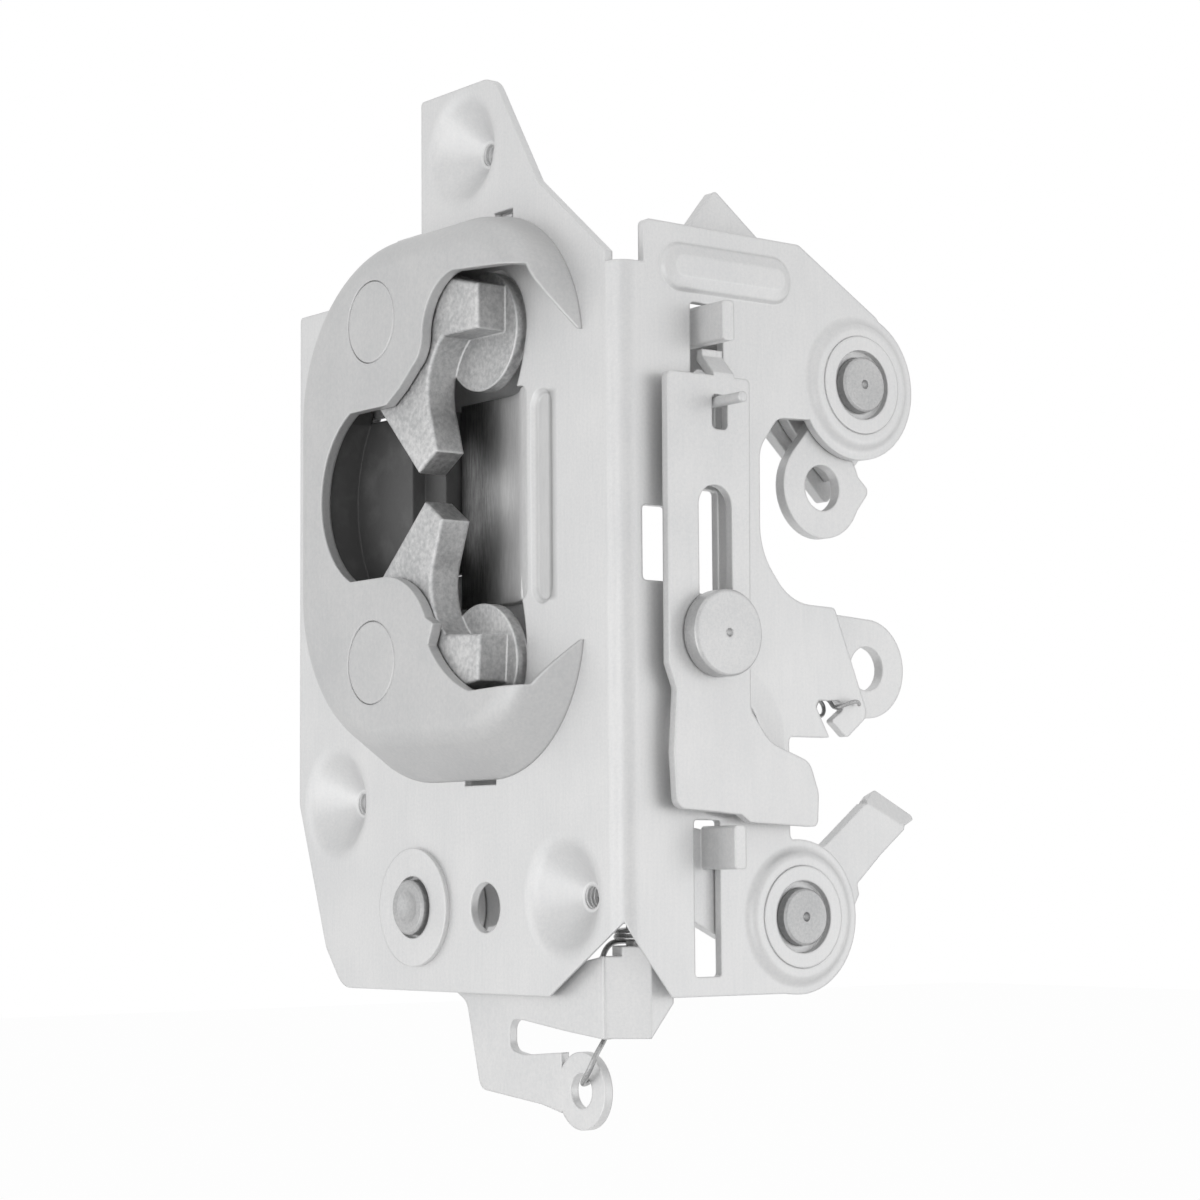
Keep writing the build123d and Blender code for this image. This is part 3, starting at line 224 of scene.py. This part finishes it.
def inBox(paint, low, high, fade):
    # 1 inside the box, 0 outside, soft towards its high side in x and its low side in y
    parts = paint.node("TexCoord", output="Object")
    x = paint.node("SeparateXYZ", links={0: parts}, output="X")
    y = paint.node("SeparateXYZ", links={0: parts}, output="Y")
    z = paint.node("SeparateXYZ", links={0: parts}, output="Z")
    across = paint.spread(x, high[0], high[0] - fade[0]) * paint.spread(x, low[0] - fade[2], low[0])
    deep = paint.spread(y, low[1], low[1] + fade[1]) * paint.spread(y, high[1] + fade[2], high[1])
    tall = paint.spread(z, low[2], low[2] + fade[2]) * paint.spread(z, high[2], high[2] - fade[2])
    return across * deep * tall


# what all the plated steel shares: scales in 1/m, stretch of the rolling streaks along z,
# shares of each pattern in tint and height, how bright corners are painted as rubbed wear and painted
# highlight, and the bands of noise used
zincSettings = {
    "cloudScale": 55.0,
    "fineRatio": 3.2,
    "streakRatio": 0.9,
    "streakStretch": (1.0, 1.0, 0.06),
    "cloudShare": 0.35,
    "fineShare": 0.4,
    "streakHeight": 0.15,
    "pitTint": 0.55,
    "edgeShare": 0.65,
    "edgeGain": 0.12,
    "brightest": 0.92,
    "edgeRough": 0.08,
    "bumpDepth": 0.00012,
    "bevelSamples": 6,
    "edgeBand": (0.995, 0.86),
    "mottleBand": (0.38, 0.62),
    "pitBand": (0.60, 0.72),
    "roughBand": (0.3, 0.7),
    "roughSpan": (-0.06, 0.08),
}
# brush strokes in the marks of wear and of painted highlight and shade: scale in 1/m, stretch and lean in
# radians
brushSettings = {"scale": 1800.0, "stretch": (1.0, 1.0, 0.12), "lean": (0.0, 0.35, 0.0)}


def zincSteel(name, tune, marks=None):
    paint = Paint(bpy.data.materials.new(name))
    shared = zincSettings
    where = paint.spot()
    clouds = paint.noise(where, shared["cloudScale"], 3.0, 0.5)
    grain = paint.noise(where, tune["grain"], 5.0, 0.65)
    fine = paint.noise(where, tune["grain"] * shared["fineRatio"], 3.0, 0.6)
    rounded = paint.node("Bevel", {"samples": shared["bevelSamples"]}, {"Radius": tune["corner"]})
    flat = paint.node("NewGeometry", output="Normal")
    same = paint.node("VectorMath", {"operation": "DOT_PRODUCT"}, {0: rounded, 1: flat}, output="Value")
    edge = paint.spread(same, *shared["edgeBand"])
    mixed = clouds * shared["cloudShare"] + grain * (1.0 - shared["cloudShare"])
    height = grain * (1.0 - shared["fineShare"]) + fine * shared["fineShare"]
    if tune["rolled"]:
        along = paint.spot(scale=shared["streakStretch"])
        streaks = paint.noise(along, tune["grain"] * shared["streakRatio"], 3.0, 0.6)
        mixed = mixed * (1.0 - tune["rolled"]) + streaks * tune["rolled"]
        height = height * (1.0 - shared["streakHeight"]) + streaks * shared["streakHeight"]
    mottle = paint.spread(mixed, *shared["mottleBand"])
    pits = paint.spread(fine, *shared["pitBand"]) * tune["pits"]
    # corners painted lighter: rubbed wear and painted highlight
    rubbedAndHighlit = grey(min(tune["level"] + shared["edgeGain"], shared["brightest"]))
    colour = paint.blend(mottle, grey(tune["dark"], -0.004), grey(tune["level"], 0.002))
    colour = paint.blend(pits, colour, grey(tune["dark"] * shared["pitTint"]))
    colour = paint.blend(edge * shared["edgeShare"], colour, rubbedAndHighlit)
    roughLevels = [tune["rough"] + change for change in shared["roughSpan"]]
    rough = paint.spread(grain, *shared["roughBand"], *roughLevels) - edge * shared["edgeRough"]
    metal = tune["metal"]
    if marks:
        along = paint.spot(scale=brushSettings["stretch"], turn=brushSettings["lean"])
        strokes = paint.spread(paint.noise(along, brushSettings["scale"], 4.0, 0.7), 0.35, 0.65)
        # each mark paints its own colour over the zinc: wear, painted highlight and painted shade
        for mark in marks.values():
            share = inBox(paint, mark["low"], mark["high"], mark["fade"]) * mark["cover"]
            marked = paint.blend(strokes, grey(mark["dark"]), grey(mark["level"]))
            colour = paint.blend(share, colour, marked)
            metal = share * mark["metal"] + (1.0 - share) * metal
    depth = shared["bumpDepth"]
    bumpLinks = {"Strength": tune["bump"], "Distance": depth, "Height": height, "Normal": rounded}
    normal = paint.node("Bump", links=bumpLinks)
    links = {"Base Color": colour, "Metallic": metal, "Roughness": rough, "Normal": normal}
    shader = paint.node("BsdfPrincipled", links=links)
    paint.node("OutputMaterial", links={"Surface": shader})
    return paint.owner


# the moulded buffer: black, rubbed grey in places, corner rounding and bump depth in m
plasticSettings = {
    "level": 0.090,
    "worn": 0.140,
    "rough": 0.42,
    "roughSpan": 0.07,
    "grain": 900.0,
    "rubScale": 120.0,
    "corner": 0.0006,
    "bump": 0.15,
    "bumpDepth": 0.0002,
}


def mouldedPlastic(name, tune):
    paint = Paint(bpy.data.materials.new(name))
    where = paint.spot()
    grain = paint.noise(where, tune["grain"], 4.0)
    rub = paint.spread(paint.noise(where, tune["rubScale"], 4.0), 0.5, 0.75)
    rounded = paint.node("Bevel", {"samples": zincSettings["bevelSamples"]}, {"Radius": tune["corner"]})
    colour = paint.blend(rub, grey(tune["level"]), grey(tune["worn"]))
    roughLevels = [tune["rough"] - tune["roughSpan"], tune["rough"] + tune["roughSpan"]]
    rough = paint.spread(grain, *zincSettings["roughBand"], *roughLevels)
    depth = tune["bumpDepth"]
    bumpLinks = {"Strength": tune["bump"], "Distance": depth, "Height": grain, "Normal": rounded}
    normal = paint.node("Bump", links=bumpLinks)
    links = {"Base Color": colour, "Metallic": 0.0, "Roughness": rough, "Normal": normal}
    shader = paint.node("BsdfPrincipled", links=links)
    paint.node("OutputMaterial", links={"Surface": shader})
    return paint.owner


finishes = {slot: zincSteel(slot + "Look", tune) for slot, tune in finishSettings.items()}
finishes["buffer_plastic"] = mouldedPlastic("bufferLook", plasticSettings)
finishes["frame"] = zincSteel("frameLook", finishSettings["plate_steel"], frameMarks)
nodeSlots = {entry["node"]: entry["material_slot"] for entry in frame["record"]["subparts"]}
ownFinish = {
    "frame": "frame",
    "upper_claw_stud": "cover_steel",
    "lower_claw_stud": "cover_steel",
    "guide_stud": "button_steel",
    "link_pin": "lever_steel",
}
for nodeName, piece in frame["nodes"].items():
    for holder in piece.material_slots:
        holder.material = finishes[ownFinish.get(nodeName, nodeSlots[nodeName])]
print("finishes made:", ", ".join(finishes))


# M6 threads of the three screw bores: places in m, core radius, pitch and rise of the thread
threadSettings = {
    "earThread": (0.0125, 0.0076, 0.0750),
    "leftThread": (-0.0385, 0.0076, -0.0680),
    "rightThread": (0.0480, 0.0076, -0.0895),
}
threadTune = {"Core": 0.00252, "Pitch": 0.0010, "Turns": 3.3, "Crest": 0.00034}
threadMesh = {"steps": 40, "sides": 4}


def threadTree():
    tree = bpy.data.node_groups.new("screwThread", "GeometryNodeTree")
    sockets = tree.interface
    sockets.new_socket("Geometry", in_out="OUTPUT", socket_type="NodeSocketGeometry")
    sockets.new_socket("Place", in_out="INPUT", socket_type="NodeSocketVector")
    for label in threadTune:
        sockets.new_socket(label, in_out="INPUT", socket_type="NodeSocketFloat")
    sockets.new_socket("Finish", in_out="INPUT", socket_type="NodeSocketMaterial")
    given = tree.nodes.new("NodeGroupInput")
    result = tree.nodes.new("NodeGroupOutput")

    def node(kind, settings=None, links=None):
        made = tree.nodes.new(kind)
        for key, value in (settings or {}).items():
            setattr(made, key, value)
        for key, value in (links or {}).items():
            if isinstance(value, bpy.types.NodeSocket):
                tree.links.new(value, made.inputs[key])
            else:
                made.inputs[key].default_value = value
        return made

    riseLinks = {0: given.outputs["Pitch"], 1: given.outputs["Turns"]}
    rise = node("ShaderNodeMath", {"operation": "MULTIPLY"}, riseLinks)
    helixLinks = {
        "Resolution": threadMesh["steps"],
        "Rotations": given.outputs["Turns"],
        "Start Radius": given.outputs["Core"],
        "End Radius": given.outputs["Core"],
        "Height": rise.outputs[0],
    }
    helix = node("GeometryNodeCurveSpiral", links=helixLinks)
    ridgeLinks = {"Resolution": threadMesh["sides"], "Radius": given.outputs["Crest"]}
    ridge = node("GeometryNodeCurvePrimitiveCircle", links=ridgeLinks)
    sweptLinks = {0: helix.outputs[0], 1: ridge.outputs[0], "Fill Caps": True}
    swept = node("GeometryNodeCurveToMesh", links=sweptLinks)
    placedLinks = {
        0: swept.outputs[0],
        "Translation": given.outputs["Place"],
        "Rotation": (-pi / 2, 0.0, 0.0),
    }
    placed = node("GeometryNodeTransform", links=placedLinks)
    whole = node("GeometryNodeRealizeInstances", links={0: placed.outputs[0]})
    paintedLinks = {0: whole.outputs[0], "Material": given.outputs["Finish"]}
    painted = node("GeometryNodeSetMaterial", links=paintedLinks)
    tree.links.new(painted.outputs[0], result.inputs[0])
    return tree


def addThread(name, tree, place, finish):
    holder = bpy.data.objects.new(name, bpy.data.meshes.new(name))
    bpy.context.scene.collection.objects.link(holder)
    modifier = holder.modifiers.new("thread", "NODES")
    modifier.node_group = tree
    values = dict(threadTune, Place=place, Finish=finish)
    for socket in tree.interface.items_tree:
        if socket.in_out == "INPUT":
            modifier[socket.identifier] = values[socket.name]
    shaped = holder.evaluated_get(bpy.context.evaluated_depsgraph_get())
    mesh = bpy.data.meshes.new_from_object(shaped)
    holder.modifiers.remove(modifier)
    holder.data = mesh
    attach(holder, "latch_frame")


threads = threadTree()
for threadName, place in threadSettings.items():
    addThread(threadName, threads, place, finishes["plate_steel"])
print("threads cut in", len(threadSettings), "bores")

# soft lamps: place, aim and size in m, power in W
lightSettings = {
    "faceBox": {
        "place": (-0.45, -0.90, -0.15),
        "aim": (0.0, 0.0, -0.02),
        "size": 0.7,
        "power": 0.90,
    },
    "gapBox": {
        "place": (0.42, -0.90, -0.10),
        "aim": (0.06, 0.02, -0.02),
        "size": 0.5,
        "power": 0.70,
    },
    "sideBox": {
        "place": (0.90, 0.65, -0.15),
        "aim": (0.05, 0.03, -0.03),
        "size": 0.7,
        "power": 1.10,
    },
    "topBox": {
        "place": (0.35, -0.45, 0.95),
        "aim": (0.02, 0.02, 0.0),
        "size": 0.8,
        "power": 0.45,
    },
    "lowBox": {
        "place": (0.10, -0.60, -0.52),
        "aim": (0.0, 0.0, -0.05),
        "size": 0.5,
        "power": 1.00,
    },
}


def addLight(name, tune):
    data = bpy.data.lights.new(name, "AREA")
    data.shape = "SQUARE"
    data.size = tune["size"]
    data.energy = tune["power"]
    light = bpy.data.objects.new(name, data)
    place = Vector(tune["place"])
    turn = (Vector(tune["aim"]) - place).to_track_quat("-Z", "Y")
    light.matrix_world = Matrix.Translation(place) @ turn.to_matrix().to_4x4()
    bpy.context.scene.collection.objects.link(light)


for lightName, tune in lightSettings.items():
    addLight(lightName, tune)

# the room: light from below and above, floor height and half width in m, and how white the floor looks
roomSettings = {
    "low": 0.68,
    "high": 0.56,
    "horizon": (-0.8, 0.9),
    "floorHeight": -0.55,
    "floorHalf": 9.0,
    "floorGlow": 0.97,
    "floorGrey": 0.85,
}


def seenShare(paint):
    # 1 for rays from the camera and for those that metal and clear pieces send out
    camera = paint.node("LightPath", output="Is Camera Ray")
    glossy = paint.node("LightPath", output="Is Glossy Ray")
    through = paint.node("LightPath", output="Is Transmission Ray")
    return camera.atLeast(glossy).atLeast(through)


def makeRoom(tune):
    world = bpy.data.worlds.new("studio")
    bpy.context.scene.world = world
    paint = Paint(world)
    direction = paint.node("TexCoord", output="Generated")
    height = paint.node("SeparateXYZ", links={0: direction}, output="Z")
    shade = paint.spread(height, *tune["horizon"], tune["low"], tune["high"])
    level = shade + (1.0 - shade) * seenShare(paint)
    tint = paint.node("CombineColor", links={0: level, 1: level, 2: level})
    shader = paint.node("Background", links={"Color": tint, "Strength": 1.0})
    paint.node("OutputWorld", links={"Surface": shader})


def makeFloor(tune):
    half = tune["floorHalf"]
    height = tune["floorHeight"]
    mesh = bpy.data.meshes.new("floor")
    turns = [(-1, -1), (1, -1), (1, 1), (-1, 1)]
    corners = [(across * half, along * half, height) for across, along in turns]
    mesh.from_pydata(corners, [], [(0, 1, 2, 3)])
    floor = bpy.data.objects.new("floor", mesh)
    bpy.context.scene.collection.objects.link(floor)
    paint = Paint(bpy.data.materials.new("floorLook"))
    dull = paint.node("BsdfDiffuse", links={"Color": grey(tune["floorGrey"])})
    glow = paint.node("Emission", links={"Color": grey(1.0), "Strength": 1.0})
    share = seenShare(paint) * tune["floorGlow"]
    shader = paint.node("MixShader", links={0: share, 1: dull, 2: glow})
    paint.node("OutputMaterial", links={"Surface": shader})
    mesh.materials.append(paint.owner)


makeRoom(roomSettings)
makeFloor(roomSettings)
bpy.context.scene.view_settings.view_transform = "Standard"
print("light and floor set")
